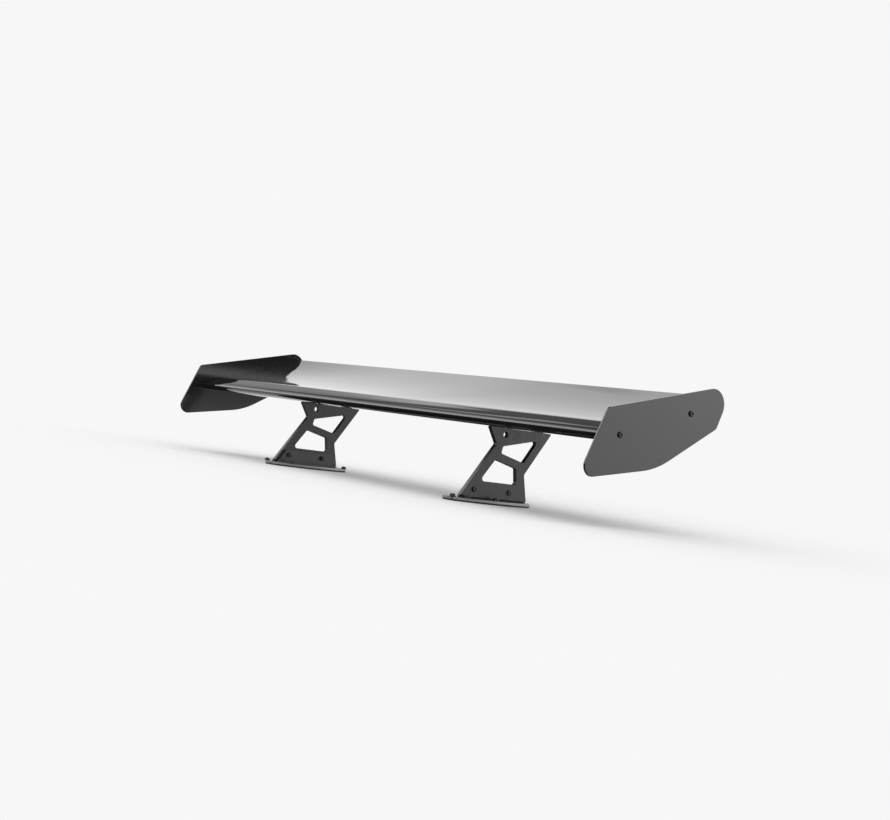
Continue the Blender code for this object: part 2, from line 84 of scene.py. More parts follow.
# section points from nose to rear edge: share of the chord, height over the chord line
UPPER = ((0.006, 3.2), (0.02, 5.1), (0.04, 6.6), (0.075, 7.8), (0.115, 8.7), (0.137, 9.2),
         (0.15, 9.4), (0.163, 9.0), (0.185, 8.0), (0.28, 4.4), (0.42, 0.8), (0.56, -1.15),
         (0.70, -1.65), (0.85, -0.85), (1.0, 0.9))
LOWER = ((0.006, -4.8), (0.02, -9.2), (0.045, -14.4), (0.085, -19.9), (0.14, -24.6),
         (0.22, -27.6), (0.32, -28.3), (0.44, -27.4), (0.58, -24.6), (0.72, -19.4),
         (0.86, -11.2), (1.0, -0.9))
BORE_END = 0.93                      # share of the chord where the skin's hollow stops
# corners (Y, Z, radius)
END_PLATE = ((-132.0, 207.0, 12.0), (186.8, 284.9, 31.0), (154.3, 199.4, 14.0),
             (6.7, 112.1, 190.0), (-183.2, 80.2, 20.0))
Z_FOOT = 10.4
UPRIGHT = ((-120.9, Z_FOOT, 2.0), (-45.3, 117.5, 4.0), (-67.1, 150.0, 2.0), (97.3, 151.0, 2.0),
           (37.5, 63.4, 7.0), (52.2, Z_FOOT, 2.0))
WINDOWS = (((-27.5, 114.2, 4.0), (-30.0, 100.3, 4.0), (32.0, 86.3, 4.0), (64.0, 134.0, 5.0)),
           ((-42.8, 86.7, 5.0), (-75.9, 42.5, 6.0), (20.2, 42.0, 5.0), (13.9, 73.7, 4.0)))
SPARE_HOLE = (-25.0, 137.2, 5.8)
PIVOT = (-20.0, 156.2)
CLAMP = (61.0, 173.0)
SLOT_SWEEP = math.radians(-8.0)
EARS = ((PIVOT, 7.6, 11.0), ((61.0, 170.5), 12.0, 12.5))     # centre, radius, half width of foot
EAR_ROOT_Z = 148.0                   # height at which an ear has the half width of its foot
BOLT_HOLE = 3.3
BASE_Y = (-143.0, 70.0)
BASE_HALF_X = 40.0
LUG_FLANGE_T = 3.0
LUG_SCREW_Y = (15.0, 38.0, 61.0)
CLEAR = 0.3                          # gap between plates that lie face to face
SEAT = 0.1                           # gap under a screw's head
WEB_T = 6.0
# shank radius, head radius, head height, height of the head's dome, flange radius
END_SCREW = (3.0, 5.4, 3.2, 1.4, 0.0)
SIDE_BOLT = (3.0, 5.3, 3.2, 1.3, 0.0)
LUG_BOLT = (3.0, 5.0, 3.6, 0.6, 0.0)
BASE_BOLT = (3.0, 5.0, 5.4, 0.6, 6.4)
LUG_SCREW = (2.5, 4.5, 2.7, 1.1, 0.0)
LUG_SCREW_LENGTH = 15.5
ROUND = 36                           # points in a ring


def rounded(corners, step=5.0):
    """Closed outline through (Y, Z, radius) corners; radius 0 keeps the point."""
    out = []
    for i, (y, z, radius) in enumerate(corners):
        here = Vector((y, z))
        back = (Vector(corners[i - 1][:2]) - here).normalized()
        ahead = (Vector(corners[(i + 1) % len(corners)][:2]) - here).normalized()
        if radius <= 0.0:
            out.append((y, z))
            continue
        half = back.angle(ahead) / 2
        centre = here + (back + ahead).normalized() * (radius / math.sin(half))
        start = here + back * (radius / math.tan(half)) - centre
        end = here + ahead * (radius / math.tan(half)) - centre
        turn = start.angle(end) * (1.0 if start.cross(end) > 0 else -1.0)
        parts = max(3, round(abs(math.degrees(turn)) / step))
        for k in range(parts + 1):
            p = centre + Matrix.Rotation(turn * k / parts, 2) @ start
            out.append(tuple(p))
    return out


def circle(y, z, radius, count=ROUND):
    return [(y + radius * math.cos(math.tau * k / count),
             z + radius * math.sin(math.tau * k / count)) for k in range(count)]


def grown(outline, amount):
    """Move a closed outline outwards (inwards if negative)."""
    area = sum(a[0] * b[1] - b[0] * a[1] for a, b in zip(outline, outline[1:] + outline[:1]))
    move = amount if area > 0 else -amount
    out = []
    for i, p in enumerate(outline):
        a = (Vector(p) - Vector(outline[i - 1])).normalized()
        b = (Vector(outline[(i + 1) % len(outline)]) - Vector(p)).normalized()
        na, nb = Vector((a.y, -a.x)), Vector((b.y, -b.x))
        mid = (na + nb).normalized()
        out.append(tuple(Vector(p) + mid * (move / max(0.35, mid.dot(na)))))
    return out


def spline(points, parts):
    """Catmull-Rom curve through the points."""
    out = []
    last = len(points) - 1
    for i in range(last):
        p0, p1, p2, p3 = (points[j] for j in (max(i - 1, 0), i, i + 1, min(i + 2, last)))
        for k in range(parts):
            t = k / parts
            out.append(tuple(0.5 * (2 * b + (c - a) * t + (2 * a - 5 * b + 4 * c - d) * t * t
                                    + (3 * b - a - 3 * c + d) * t ** 3)
                             for a, b, c, d in zip(p0, p1, p2, p3)))
    return out + [points[-1]]


def evened(points, gap):
    """The same open curve with its points an even gap apart."""
    out, left = [points[0]], gap
    for a, b in zip(points, points[1:]):
        a, b = Vector(a), Vector(b)
        while (b - a).length >= left:
            a = a + (b - a).normalized() * left
            out.append(tuple(a))
            left = gap
        left -= (b - a).length
    return out + [points[-1]]


def calmed(points, passes):
    """Even out the curvature of an open curve; its ends stay."""
    for _ in range(passes):
        mids = [tuple((a + 2 * b + c) / 4 for a, b, c in zip(p, q, r))
                for p, q, r in zip(points, points[1:], points[2:])]
        points = [points[0]] + mids + [points[-1]]
    return points


def on_blade(fraction, offset):
    """A point of the section: its share of the chord and its height over the chord line."""
    along, c, s = fraction * CHORD, math.cos(PITCH), math.sin(PITCH)
    return (NOSE[0] + along * c - offset * s, NOSE[1] + along * s + offset * c)


def blade_outline():
    """From the upper rear edge round the nose to the lower rear edge, an even 1.25 mm apart."""
    top = [on_blade(f, o) for f, o in reversed(UPPER)]
    under = [on_blade(f, o) for f, o in LOWER]
    return calmed(evened(spline(top + [on_blade(0.0, 0.0)] + under, 24), 1.25), 4)


BLADE = blade_outline()


def underside(y, drop=0.0):
    """Height of the blade's underside at one Y, lowered square to the surface."""
    points = grown(BLADE, drop)
    nose = min(range(len(points)), key=lambda i: points[i][0])
    for (y0, z0), (y1, z1) in zip(points[nose:], points[nose + 1:]):
        if y0 <= y <= y1:
            return z0 + (z1 - z0) * (y - y0) / (y1 - y0)
    return points[-1][1]


# the CAD's Y datum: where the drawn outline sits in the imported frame
DRAWN = rounded(END_PLATE)
Y_SHIFT = (sum(p.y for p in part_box("end_plate_left")) / MM
           - min(p[0] for p in DRAWN) - max(p[0] for p in DRAWN)) / 2


def metres(x, y, z):
    """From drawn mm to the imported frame's metres."""
    return Vector((x, y + Y_SHIFT, z)) * MM


def limits(node):
    """The node's box in drawn mm."""
    low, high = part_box(node)
    shift = Vector((0.0, Y_SHIFT, 0.0))
    return low / MM - shift, high / MM - shift


# ------------------------------------------------------------------ turning outlines into pieces
SMOOTH_BELOW = math.radians(32.0)
TOLERANCE = 0.0009                   # a piece keeps to its CAD node's box to this (m)
MERGE = 2e-6                         # points closer than this become one (m)


def piece(name, bm, nodes, key):
    """Make the object, give it its body, finish and shading, and let it stand for its nodes."""
    bmesh.ops.remove_doubles(bm, verts=bm.verts, dist=MERGE)
    bmesh.ops.dissolve_degenerate(bm, edges=bm.edges, dist=MERGE)
    bmesh.ops.recalc_face_normals(bm, faces=bm.faces)
    mesh = bpy.data.meshes.new(name)
    bm.to_mesh(mesh)
    bm.free()
    mesh.shade_smooth()
    mesh.set_sharp_from_angle(angle=SMOOTH_BELOW)
    obj = bpy.data.objects.new(name, mesh)
    bpy.context.scene.collection.objects.link(obj)
    mesh.materials.append(FINISH[key])
    weighted = obj.modifiers.new("even_shading", "WEIGHTED_NORMAL")
    weighted.keep_sharp = True
    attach(obj, NODES[nodes[0]]["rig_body"])
    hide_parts(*nodes)
    low, high = (Vector(map(f, zip(*(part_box(n)[i] for n in nodes))))
                 for i, f in ((0, min), (1, max)))
    for got, want in ((Vector(map(min, zip(*(v.co for v in mesh.vertices)))), low),
                      (Vector(map(max, zip(*(v.co for v in mesh.vertices)))), high)):
        if max(abs(a) for a in got - want) > TOLERANCE:
            off = [round(a / MM, 2) for a in got - want]
            raise ValueError(f"{name} is {off} mm off its CAD node")
    return obj


def solid_from(outline, holes, x0, x1, edge):
    """Mesh of a plate along X with holes and rounded rims; outlines in drawn mm."""
    curve = bpy.data.curves.new("profile", "CURVE")
    curve.dimensions, curve.fill_mode = "2D", "BOTH"
    curve.extrude = (abs(x1 - x0) / 2 - edge) * MM
    curve.bevel_depth, curve.bevel_resolution, curve.offset = edge * MM, 2, -edge * MM
    for ring in [outline] + list(holes):
        line = curve.splines.new("POLY")
        line.points.add(len(ring) - 1)
        for point, (y, z) in zip(line.points, ring):
            point.co = ((y + Y_SHIFT) * MM, z * MM, 0.0, 1.0)
        line.use_cyclic_u = True
    holder = bpy.data.objects.new("profile", curve)
    bpy.context.scene.collection.objects.link(holder)
    mesh = bpy.data.meshes.new_from_object(
        holder.evaluated_get(bpy.context.evaluated_depsgraph_get()))
    bm = bmesh.new()
    bm.from_mesh(mesh)
    middle = (x0 + x1) / 2 * MM
    for v in bm.verts:
        v.co = Vector((v.co.z + middle, v.co.x, v.co.y))
    bmesh.ops.remove_doubles(bm, verts=bm.verts, dist=MERGE)
    bpy.data.objects.remove(holder)
    bpy.data.curves.remove(curve)
    bpy.data.meshes.remove(mesh)
    return bm


def plate(node, outline, holes, edge, key):
    """A plate as thick as its CAD node."""
    low, high = limits(node)
    return piece(f"{node}_fine", solid_from(outline, holes, low.x, high.x, edge), [node], key)


def loft(loops, closed=False):
    """Mesh from equal rings of drawn (x, y, z); its ends are capped, or joined if closed."""
    bm = bmesh.new()
    rings = [[bm.verts.new(metres(*p)) for p in loop] for loop in loops]
    for a, b in zip(rings, rings[1:] + (rings[:1] if closed else [])):
        for i in range(len(a)):
            bm.faces.new((a[i - 1], a[i], b[i], b[i - 1]))
    if not closed:
        bm.faces.new(rings[0][::-1])
        bm.faces.new(rings[-1])
    return bm


def placed(flat, along, origin, tip):
    """Put a flat ring on a line through origin; along grows towards the tip."""
    side = Vector((0, 1, 0)) if abs(tip.x) > 0.5 else Vector((1, 0, 0))
    across = tip.cross(side)
    return [tuple(Vector(origin) + tip * along + side * a + across * b) for a, b in flat]


def hexagon(radius, count=ROUND):
    """Points of a hexagon of this corner radius, one per step of angle."""
    out = []
    for k in range(count):
        a = math.tau * k / count
        r = radius * math.cos(math.pi / 6) / math.cos(a % (math.pi / 3) - math.pi / 6)
        out.append((r * math.cos(a), r * math.sin(a)))
    return out


def joined(bm, other, mode):
    """Exact boolean of two meshes; both are used up."""
    made = []
    for part in (bm, other):
        bmesh.ops.recalc_face_normals(part, faces=part.faces)
        mesh = bpy.data.meshes.new("part")
        part.to_mesh(mesh)
        part.free()
        made.append(bpy.data.objects.new("part", mesh))
        bpy.context.scene.collection.objects.link(made[-1])
    cut = made[0].modifiers.new("join", "BOOLEAN")
    cut.operation, cut.solver, cut.object = mode, "EXACT", made[1]
    result = bpy.data.meshes.new_from_object(
        made[0].evaluated_get(bpy.context.evaluated_depsgraph_get()))
    out = bmesh.new()
    out.from_mesh(result)
    for obj in made:
        mesh = obj.data
        bpy.data.objects.remove(obj)
        bpy.data.meshes.remove(mesh)
    bpy.data.meshes.remove(result)
    return out


# ------------------------------------------------------------------ finishes
class Wiring:
    """Short ways to wire shader nodes."""

    def __init__(self, tree):
        self.tree = tree

    def node(self, kind, **settings):
        made = self.tree.nodes.new(kind)
        for key, value in settings.items():
            setattr(made, key, value)
        return made

    def link(self, out, into):
        self.tree.links.new(out, into)

    def maths(self, operation, a, b=0.0):
        made = self.node("ShaderNodeMath", operation=operation)
        for socket, value in zip(made.inputs, (a, b)):
            if isinstance(value, (int, float)):
                socket.default_value = value
            else:
                self.link(value, socket)
        return made.outputs["Value"]

    def remap(self, value, low, high, to_low=0.0, to_high=1.0, **settings):
        span = self.node("ShaderNodeMapRange", **settings)
        for socket, number in zip(("From Min", "From Max", "To Min", "To Max"),
                                  (low, high, to_low, to_high)):
            span.inputs[socket].default_value = number
        self.link(value, span.inputs["Value"])
        return span.outputs["Result"]


class Paint(Wiring):
    """One procedural material; its grain sizes are in mm of the object."""

    def __init__(self, name, colour, metallic, rough):
        self.material = bpy.data.materials.new(name)
        self.material.use_nodes = True
        super().__init__(self.material.node_tree)
        self.shader = self.tree.nodes["Principled BSDF"]
        self.set("Base Color", (*colour, 1.0))
        self.set("Metallic", metallic)
        self.set("Roughness", rough)
        self.place = self.node("ShaderNodeTexCoord").outputs["Object"]

    def set(self, socket, value):
        self.shader.inputs[socket].default_value = value

    def noise(self, size_mm, stretch=(1.0, 1.0, 1.0), detail=3.0, rough=0.55):
        """Grain about size_mm across, longer by stretch along each axis."""
        scale = self.node("ShaderNodeMapping", vector_type="POINT")
        scale.inputs["Scale"].default_value = tuple(1.0 / (size_mm * MM * s) for s in stretch)
        self.link(self.place, scale.inputs["Vector"])
        grain = self.node("ShaderNodeTexNoise")
        grain.inputs["Scale"].default_value = 1.0
        grain.inputs["Detail"].default_value = detail
        grain.inputs["Roughness"].default_value = rough
        self.link(scale.outputs["Vector"], grain.inputs["Vector"])
        return grain.outputs["Fac"]

    def blend(self, factor, a, b):
        """A colour between two, each a colour or an output."""
        mix = self.node("ShaderNodeMix", data_type="RGBA")
        self.link(factor, mix.inputs["Factor"])
        for socket, value in (("A", a), ("B", b)):
            into = next(s for s in mix.inputs if s.name == socket and s.type == "RGBA")
            if isinstance(value, tuple):
                into.default_value = (*value, 1.0)
            else:
                self.link(value, into)
        return next(s for s in mix.outputs if s.type == "RGBA")

    def bump(self, height, depth_mm, strength=1.0, under=None):
        made = self.node("ShaderNodeBump")
        made.inputs["Strength"].default_value = strength
        made.inputs["Distance"].default_value = depth_mm * MM
        self.link(height, made.inputs["Height"])
        if under is not None:
            self.link(under, made.inputs["Normal"])
        return made.outputs["Normal"]

    def wear_and_edge_highlight(self, radius_mm, gain):
        """How much a point lies on an outer edge, 0 to 1, broken up by grain."""
        # the pale colour this edge mask drives stands for wear and also for a painted highlight
        # that edges catch
        soft = self.node("ShaderNodeBevel", samples=4)
        soft.inputs["Radius"].default_value = radius_mm * MM
        true = self.node("ShaderNodeNewGeometry").outputs["Normal"]
        dot = self.node("ShaderNodeVectorMath", operation="DOT_PRODUCT")
        self.link(soft.outputs["Normal"], dot.inputs[0])
        self.link(true, dot.inputs[1])
        edge = self.remap(dot.outputs["Value"], 1.0, 0.72, 0.0, 1.0)
        ragged = self.remap(self.noise(3.5, detail=5.0, rough=0.7), 0.38, 0.62, 0.25, 1.0)
        return self.maths("MULTIPLY", self.maths("MULTIPLY", edge, ragged), gain)

    def drive(self, socket, output):
        self.link(output, self.shader.inputs[socket])


def gel_coat():
    """Black gloss gel coat: faint orange peel, lengthwise print-through, a little dust."""
    p = Paint("gloss_black_gelcoat", (0.010, 0.010, 0.011), 0.0, 0.04)
    p.set("IOR", 1.5)
    cloud = p.noise(90.0, (3.0, 1.0, 1.0), 4.0)
    dust = p.remap(p.noise(1.1, detail=2.0), 0.72, 0.80, 0.0, 0.35)
    tone = p.blend(cloud, (0.008, 0.008, 0.009), (0.014, 0.014, 0.015))
    p.drive("Base Color", p.blend(dust, tone, (0.10, 0.10, 0.10)))
    p.drive("Roughness", p.remap(cloud, 0.3, 0.7, 0.025, 0.05))
    peel = p.bump(p.noise(5.0, (1.6, 1.0, 1.0), 2.0), 0.012)
    p.drive("Normal", p.bump(p.noise(60.0, (6.0, 1.0, 1.0), 1.0), 0.10, under=peel))
    return p.material


def powder_coat():
    """Satin powder coat on sheet: fine pebbled skin, paler over the rims, as thinner coat there and
    as a painted edge highlight.
    """
    p = Paint("satin_black_powder", (0.008, 0.008, 0.0085), 0.0, 0.14)
    cloud = p.noise(45.0, detail=5.0)
    speck = p.noise(0.55, detail=2.0)
    tone = p.blend(cloud, (0.005, 0.005, 0.0054), (0.010, 0.010, 0.0105))
    tone = p.blend(p.remap(speck, 0.60, 0.75, 0.0, 0.5), tone, (0.028, 0.028, 0.029))
    # rims paler: thinner coat, and a painted edge highlight
    p.drive("Base Color", p.blend(p.wear_and_edge_highlight(0.9, 0.35), tone, (0.10, 0.10, 0.10)))
    p.drive("Roughness", p.remap(p.noise(7.0, detail=4.0), 0.3, 0.7, 0.11, 0.17))
    pebble = p.bump(p.noise(0.9, detail=2.0), 0.02, 0.4)
    p.drive("Normal", p.bump(p.noise(9.0, detail=2.0), 0.03, 0.3, under=pebble))
    return p.material


def dark_anodised():
    """Bead-blasted, black anodised plate: matt grain, arrises paler as rubbing and as a painted
    edge highlight, faint handling marks.
    """
    p = Paint("black_anodised_blasted", (0.014, 0.014, 0.015), 0.0, 0.38)
    cloud = p.noise(30.0, detail=5.0)
    grain = p.noise(0.35, detail=2.0)
    tone = p.blend(cloud, (0.010, 0.010, 0.011), (0.018, 0.018, 0.019))
    tone = p.blend(p.remap(grain, 0.4, 0.7, 0.0, 0.4), tone, (0.034, 0.034, 0.036))
    # arrises paler: rubbing, and a painted edge highlight
    p.drive("Base Color", p.blend(p.wear_and_edge_highlight(0.8, 0.35), tone, (0.12, 0.12, 0.122)))
    p.drive("Roughness", p.remap(p.noise(14.0, (1.0, 1.0, 2.5), 5.0), 0.3, 0.7, 0.32, 0.44))
    p.drive("Normal", p.bump(grain, 0.03, 0.7))
    return p.material


LIT_RIM_TOP = 0.0080                  # top of the base plate's rim band that is painted paler, as painted light (m)


def grey_anodised():
    """Milled bracket, dark anodised: fine tool lines along it, edges paler as wear and as a painted
    edge highlight, and the base plate's upright rim painted paler as if lit.
    """
    p = Paint("dark_anodised_milled_painted_lit_rim", (0.045, 0.045, 0.047), 0.4, 0.38)
    lines = p.noise(0.9, (1.0, 40.0, 1.0), 3.0)
    cloud = p.noise(18.0, detail=4.0)
    tone = p.blend(cloud, (0.034, 0.0345, 0.036), (0.056, 0.0565, 0.058))
    tone = p.blend(p.remap(lines, 0.35, 0.65, 0.0, 0.35), tone, (0.080, 0.081, 0.083))
    # painted light: upright faces of the base plate's rim, below the rim top, are made paler as if
    # lit
    face = p.node("ShaderNodeSeparateXYZ")
    p.link(p.node("ShaderNodeNewGeometry").outputs["Normal"], face.inputs["Vector"])
    height = p.node("ShaderNodeSeparateXYZ")
    p.link(p.place, height.inputs["Vector"])
    below = p.remap(height.outputs["Z"], LIT_RIM_TOP, LIT_RIM_TOP + 0.0003, 1.0, 0.0)
    upright = p.remap(p.maths("ABSOLUTE", face.outputs["Z"]), 0.75, 0.95, 1.0, 0.0)
    painted_lit_rim = p.maths("MULTIPLY", below, upright)
    # edges paler: wear, and a painted edge highlight
    tone = p.blend(p.wear_and_edge_highlight(0.8, 0.5), tone, (0.30, 0.30, 0.305))
    # painted light on the base plate's upright rim
    p.drive("Base Color", p.blend(painted_lit_rim, tone, (0.22, 0.222, 0.226)))
    p.drive("Roughness", p.remap(lines, 0.3, 0.7, 0.30, 0.44))
    p.drive("Normal", p.bump(lines, 0.015, 0.6))
    return p.material


def black_oxide():
    """Oiled black oxide steel: blue-black, edges a little brighter as rubbing and as a painted edge
    highlight.
    """
    p = Paint("black_oxide_steel", (0.008, 0.008, 0.009), 0.0, 0.34)
    cloud = p.noise(1.6, detail=4.0)
    tone = p.blend(cloud, (0.005, 0.005, 0.006), (0.013, 0.013, 0.014))
    # edges brighter: rubbing, and a painted edge highlight
    p.drive("Base Color", p.blend(p.wear_and_edge_highlight(0.35, 0.5), tone, (0.09, 0.09, 0.092)))
    p.drive("Roughness", p.remap(cloud, 0.3, 0.7, 0.26, 0.44))
    p.drive("Normal", p.bump(p.noise(0.3), 0.01, 0.5))
    return p.material


def zinc_steel():
    """Bright zinc plate with a slightly mottled passivation."""
    p = Paint("zinc_plated_steel", (0.42, 0.425, 0.43), 0.95, 0.3)
    cloud = p.noise(2.4, detail=4.0)
    p.drive("Base Color", p.blend(cloud, (0.34, 0.345, 0.355), (0.50, 0.50, 0.49)))
    p.drive("Roughness", p.remap(cloud, 0.3, 0.7, 0.22, 0.40))
    p.drive("Normal", p.bump(p.noise(0.4), 0.01, 0.5))
    return p.material


def raw_aluminium():
    """Sawn and drawn aluminium inside the blade: lengthwise drawing lines."""
    p = Paint("raw_aluminium_drawn", (0.56, 0.565, 0.57), 0.95, 0.36)
    lines = p.noise(0.7, (60.0, 1.0, 1.0), 3.0)
    p.drive("Base Color", p.blend(lines, (0.48, 0.485, 0.49), (0.62, 0.625, 0.63)))
    p.drive("Roughness", p.remap(lines, 0.3, 0.7, 0.28, 0.46))
    p.drive("Normal", p.bump(lines, 0.01, 0.6))
    return p.material


def resin():
    """Filled casting resin: cloudy, matt, with small voids."""
    p = Paint("filled_resin", (0.11, 0.10, 0.085), 0.0, 0.62)
    cloud = p.noise(8.0, detail=5.0)
    voids = p.remap(p.noise(1.3, detail=1.0), 0.68, 0.72, 0.0, 1.0)
    tone = p.blend(cloud, (0.085, 0.078, 0.066), (0.14, 0.127, 0.105))
    p.drive("Base Color", p.blend(voids, tone, (0.03, 0.028, 0.024)))
    p.drive("Roughness", p.remap(cloud, 0.3, 0.7, 0.52, 0.72))
    p.drive("Normal", p.bump(p.noise(1.3), 0.05, 0.6))
    return p.material


def black_rubber():
    """Moulded rubber: matt, finely pitted, dusty."""
    p = Paint("black_rubber_moulded", (0.014, 0.014, 0.014), 0.0, 0.8)
    cloud = p.noise(6.0, detail=5.0)
    p.drive("Base Color", p.blend(cloud, (0.010, 0.010, 0.010), (0.026, 0.025, 0.024)))
    p.drive("Roughness", p.remap(cloud, 0.3, 0.7, 0.66, 0.88))
    p.drive("Normal", p.bump(p.noise(0.5), 0.04, 0.6))
    return p.material


# by the record's material slots; two of their names say grey, and their finishes are darker
FINISH = {
    "gloss_black": gel_coat(),
    "satin_grey": powder_coat(),
    "anodised_dark": dark_anodised(),
    "anodised_grey": grey_anodised(),
    "black_oxide": black_oxide(),
    "zinc_steel": zinc_steel(),
    "raw_aluminium": raw_aluminium(),
    "resin": resin(),
    "black_rubber": black_rubber(),
}


# ------------------------------------------------------------------ wing
def make_blade():
    """Smooth aerofoil skin with its hollow."""
    low, high = limits("blade_skin")
    inner = grown(BLADE, -SKIN_T)
    bore = [p for p in inner if p[0] < on_blade(BORE_END, 0.0)[0]]
    piece("blade_skin_fine", solid_from(BLADE, [bore], low.x, high.x, 0.25), ["blade_skin"],
          "gloss_black")


def centre_of(node):
    low, high = limits(node)
    return (low + high) / 2


def bolt_holes(kind, tag):
    """Round holes on the front and rear bolt of one kind."""
    boxes = [limits(f"{kind}_{where}_{tag}") for where in ("front", "rear")]
    return [circle((low.y + high.y) / 2, (low.z + high.z) / 2, BOLT_HOLE) for low, high in boxes]


def make_end_plate(tag):
    holes = bolt_holes("end_screw", tag)
    plate(f"end_plate_{tag}", rounded(END_PLATE, 3.0), holes, 0.6, "satin_grey")


def arc(centre, radius, start, end, count=24):
    return [(centre[0] + radius * math.cos(start + (end - start) * k / count),
             centre[1] + radius * math.sin(start + (end - start) * k / count))
            for k in range(count + 1)]


def upright_outline():
    """The hourglass with both ears drawn into its top edge."""
    (y0, z0, _), (y1, z1, _) = UPRIGHT[2:4]
    ears = []
    for (cy, cz), radius, half in EARS:
        feet = []
        for side in (-1.0, 1.0):
            edge = z0 + (z1 - z0) * (cy + side * half - y0) / (y1 - y0)
            lean = (edge - EAR_ROOT_Z) / (cz - EAR_ROOT_Z)
            feet.append((cy + side * (half + (radius - half) * lean), edge, 1.5))
        crown = [(y, z, 0.0) for y, z in arc((cy, cz), radius, math.pi, 0.0)]
        ears += [feet[0], *crown, feet[1]]
    return rounded(list(UPRIGHT[:3]) + ears + list(UPRIGHT[3:]))


def slot_outline():
    """The clamp bolt's arc, swept round the pivot."""
    dy, dz = CLAMP[0] - PIVOT[0], CLAMP[1] - PIVOT[1]
    reach, start = math.hypot(dy, dz), math.atan2(dz, dy)
    end = start + SLOT_SWEEP
    low = (PIVOT[0] + reach * math.cos(end), PIVOT[1] + reach * math.sin(end))
    return (arc(PIVOT, reach + BOLT_HOLE, start, end, 12)[:-1]
            + arc(low, BOLT_HOLE, end, end - math.pi, 12)[:-1]
            + arc(PIVOT, reach - BOLT_HOLE, end, start, 12)[:-1]
            + arc(CLAMP, BOLT_HOLE, start + math.pi, start, 12)[:-1])


def make_upright(tag):
    holes = [rounded(w) for w in WINDOWS]
    holes += [circle(*SPARE_HOLE), circle(*PIVOT, BOLT_HOLE), slot_outline()]
    holes += bolt_holes("side_bolt", tag)
    plate(f"upright_{tag}", upright_outline(), holes, 0.5, "anodised_dark")


def make_lug(tag, side):
    """Fin beside the upright and a flange that follows the blade."""
    low, high = limits(f"blade_lug_{tag}")
    inner, outer = sorted((low.x, high.x), key=abs)
    tops = [(y, underside(y, CLEAR)) for y in (-31.0 + 2.0 * k for k in range(52))]
    fin = tops + [(71.0, 168.0)]
    fin += arc(CLAMP, 9.0, math.radians(-30), math.radians(-120), 18)
    fin += [(40.0, 172.0), (15.0, 164.0), (-6.0, 153.5)]
    fin += arc(PIVOT, 7.4, math.radians(-50), math.radians(-170), 24)
    holes = [circle(*PIVOT, BOLT_HOLE), circle(*CLAMP, BOLT_HOLE)]
    web = solid_from(fin, holes, outer - side * 5.0, outer, 0.35)
    ys = [2.0 + 3.0 * k for k in range(23)]
    shelf = [(y, underside(y, CLEAR)) for y in ys]
    shelf += [(y, underside(y, CLEAR + LUG_FLANGE_T)) for y in reversed(ys)]
    flange = solid_from(shelf, [], inner, outer - side * 0.5, 0.35)
    piece(f"blade_lug_{tag}_fine", joined(web, flange, "UNION"), [f"blade_lug_{tag}"],
          "anodised_dark")


# ------------------------------------------------------------------ fixings
THREAD_PITCH, THREAD_DEPTH, THREAD_LENGTH = 1.0, 0.42, 11.0
POINT = 0.7                          # chamfer of a screw's tip
BREAK = 0.15                         # chamfer under a screw's head
HEAD_STEPS = 8


def ring(radius, count=ROUND):
    return circle(0.0, 0.0, radius, count)


def screw(node, tip, size):
    """Socket screw along an axis, from its CAD box; tip is the direction it points."""
    low, high = limits(node)
    half, height = abs(((high - low) / 2).dot(tip)), size[2]
    build_screw(node, (low + high) / 2 - tip * (half - height), tip, 2 * half - height, size)


def build_screw(node, origin, tip, length, size):
    """Turned from tip to socket: point, thread, shank, flange if any, domed head, hexagon."""
    shank, head, height, dome, flange = size
    steps = [(length, ring(shank - POINT)), (length - POINT, ring(shank))]
    reach = min(length - 1.2, THREAD_LENGTH)
    for k in range(int(reach / THREAD_PITCH) * 2):
        along = length - 0.9 - k * THREAD_PITCH / 2
        steps.append((along, ring(shank - (THREAD_DEPTH if k % 2 else 0.0))))
    steps += [(length - 1.2 - reach, ring(shank)), (0.0, ring(shank))]
    if flange:
        steps += [(0.0, ring(flange - BREAK)), (-BREAK, ring(flange)), (-0.9, ring(flange)),
                  (-1.2, ring(flange - 0.35)), (-1.25, ring(head))]
    else:
        steps += [(0.0, ring(head - BREAK)), (-BREAK, ring(head))]
    for k in range(HEAD_STEPS + 1):
        a = math.pi / 2 * k / HEAD_STEPS
        steps.append((-(height - dome) - dome * math.sin(a),
                      ring(head - dome * 1.35 * (1 - math.cos(a)))))
    socket = head * 0.5
    steps += [(-height, ring(socket + 0.25)), (-height + 0.22, hexagon(socket)),
              (-height * 0.45, hexagon(socket)), (-height * 0.38, ring(socket * 0.6)),
              (-height * 0.36, ring(0.4))]
    loops = [placed(flat, along, origin, tip) for along, flat in steps]
    piece(f"{node}_fine", loft(loops), [node], "black_oxide")


def nut(node, tip, key, bore=3.1, across=10.0):
    """Hex nut with turned corners, from its CAD box."""
    low, high = limits(node)
    height = 2 * abs(((high - low) / 2).dot(tip))
    origin = (low + high) / 2 - tip * height / 2
    corner = across / math.sqrt(3)
    turned = across / 2 * 0.97
    outer = hexagon(corner)
    clipped = [tuple(Vector(p).normalized() * min(Vector(p).length, turned)) for p in outer]
    slope = math.tan(math.radians(30))
    drops = [max(0.0, Vector(p).length - turned) * slope for p in outer]
    lead = 0.35                      # chamfers of the bore: seated side, then free side
    open_lead = 0.5
    levels = [(ring(bore + lead), [0.0] * ROUND), (clipped, [0.0] * ROUND), (outer, drops),
              (outer, [height - d for d in drops]), (clipped, [height] * ROUND),
              (ring(bore + open_lead), [height] * ROUND),
              (ring(bore), [height - open_lead] * ROUND), (ring(bore), [lead] * ROUND)]
    loops = [[placed([p], a, origin, tip)[0] for p, a in zip(flat, along)]
             for flat, along in levels]
    piece(f"{node}_fine", loft(loops, closed=True), [node], key)


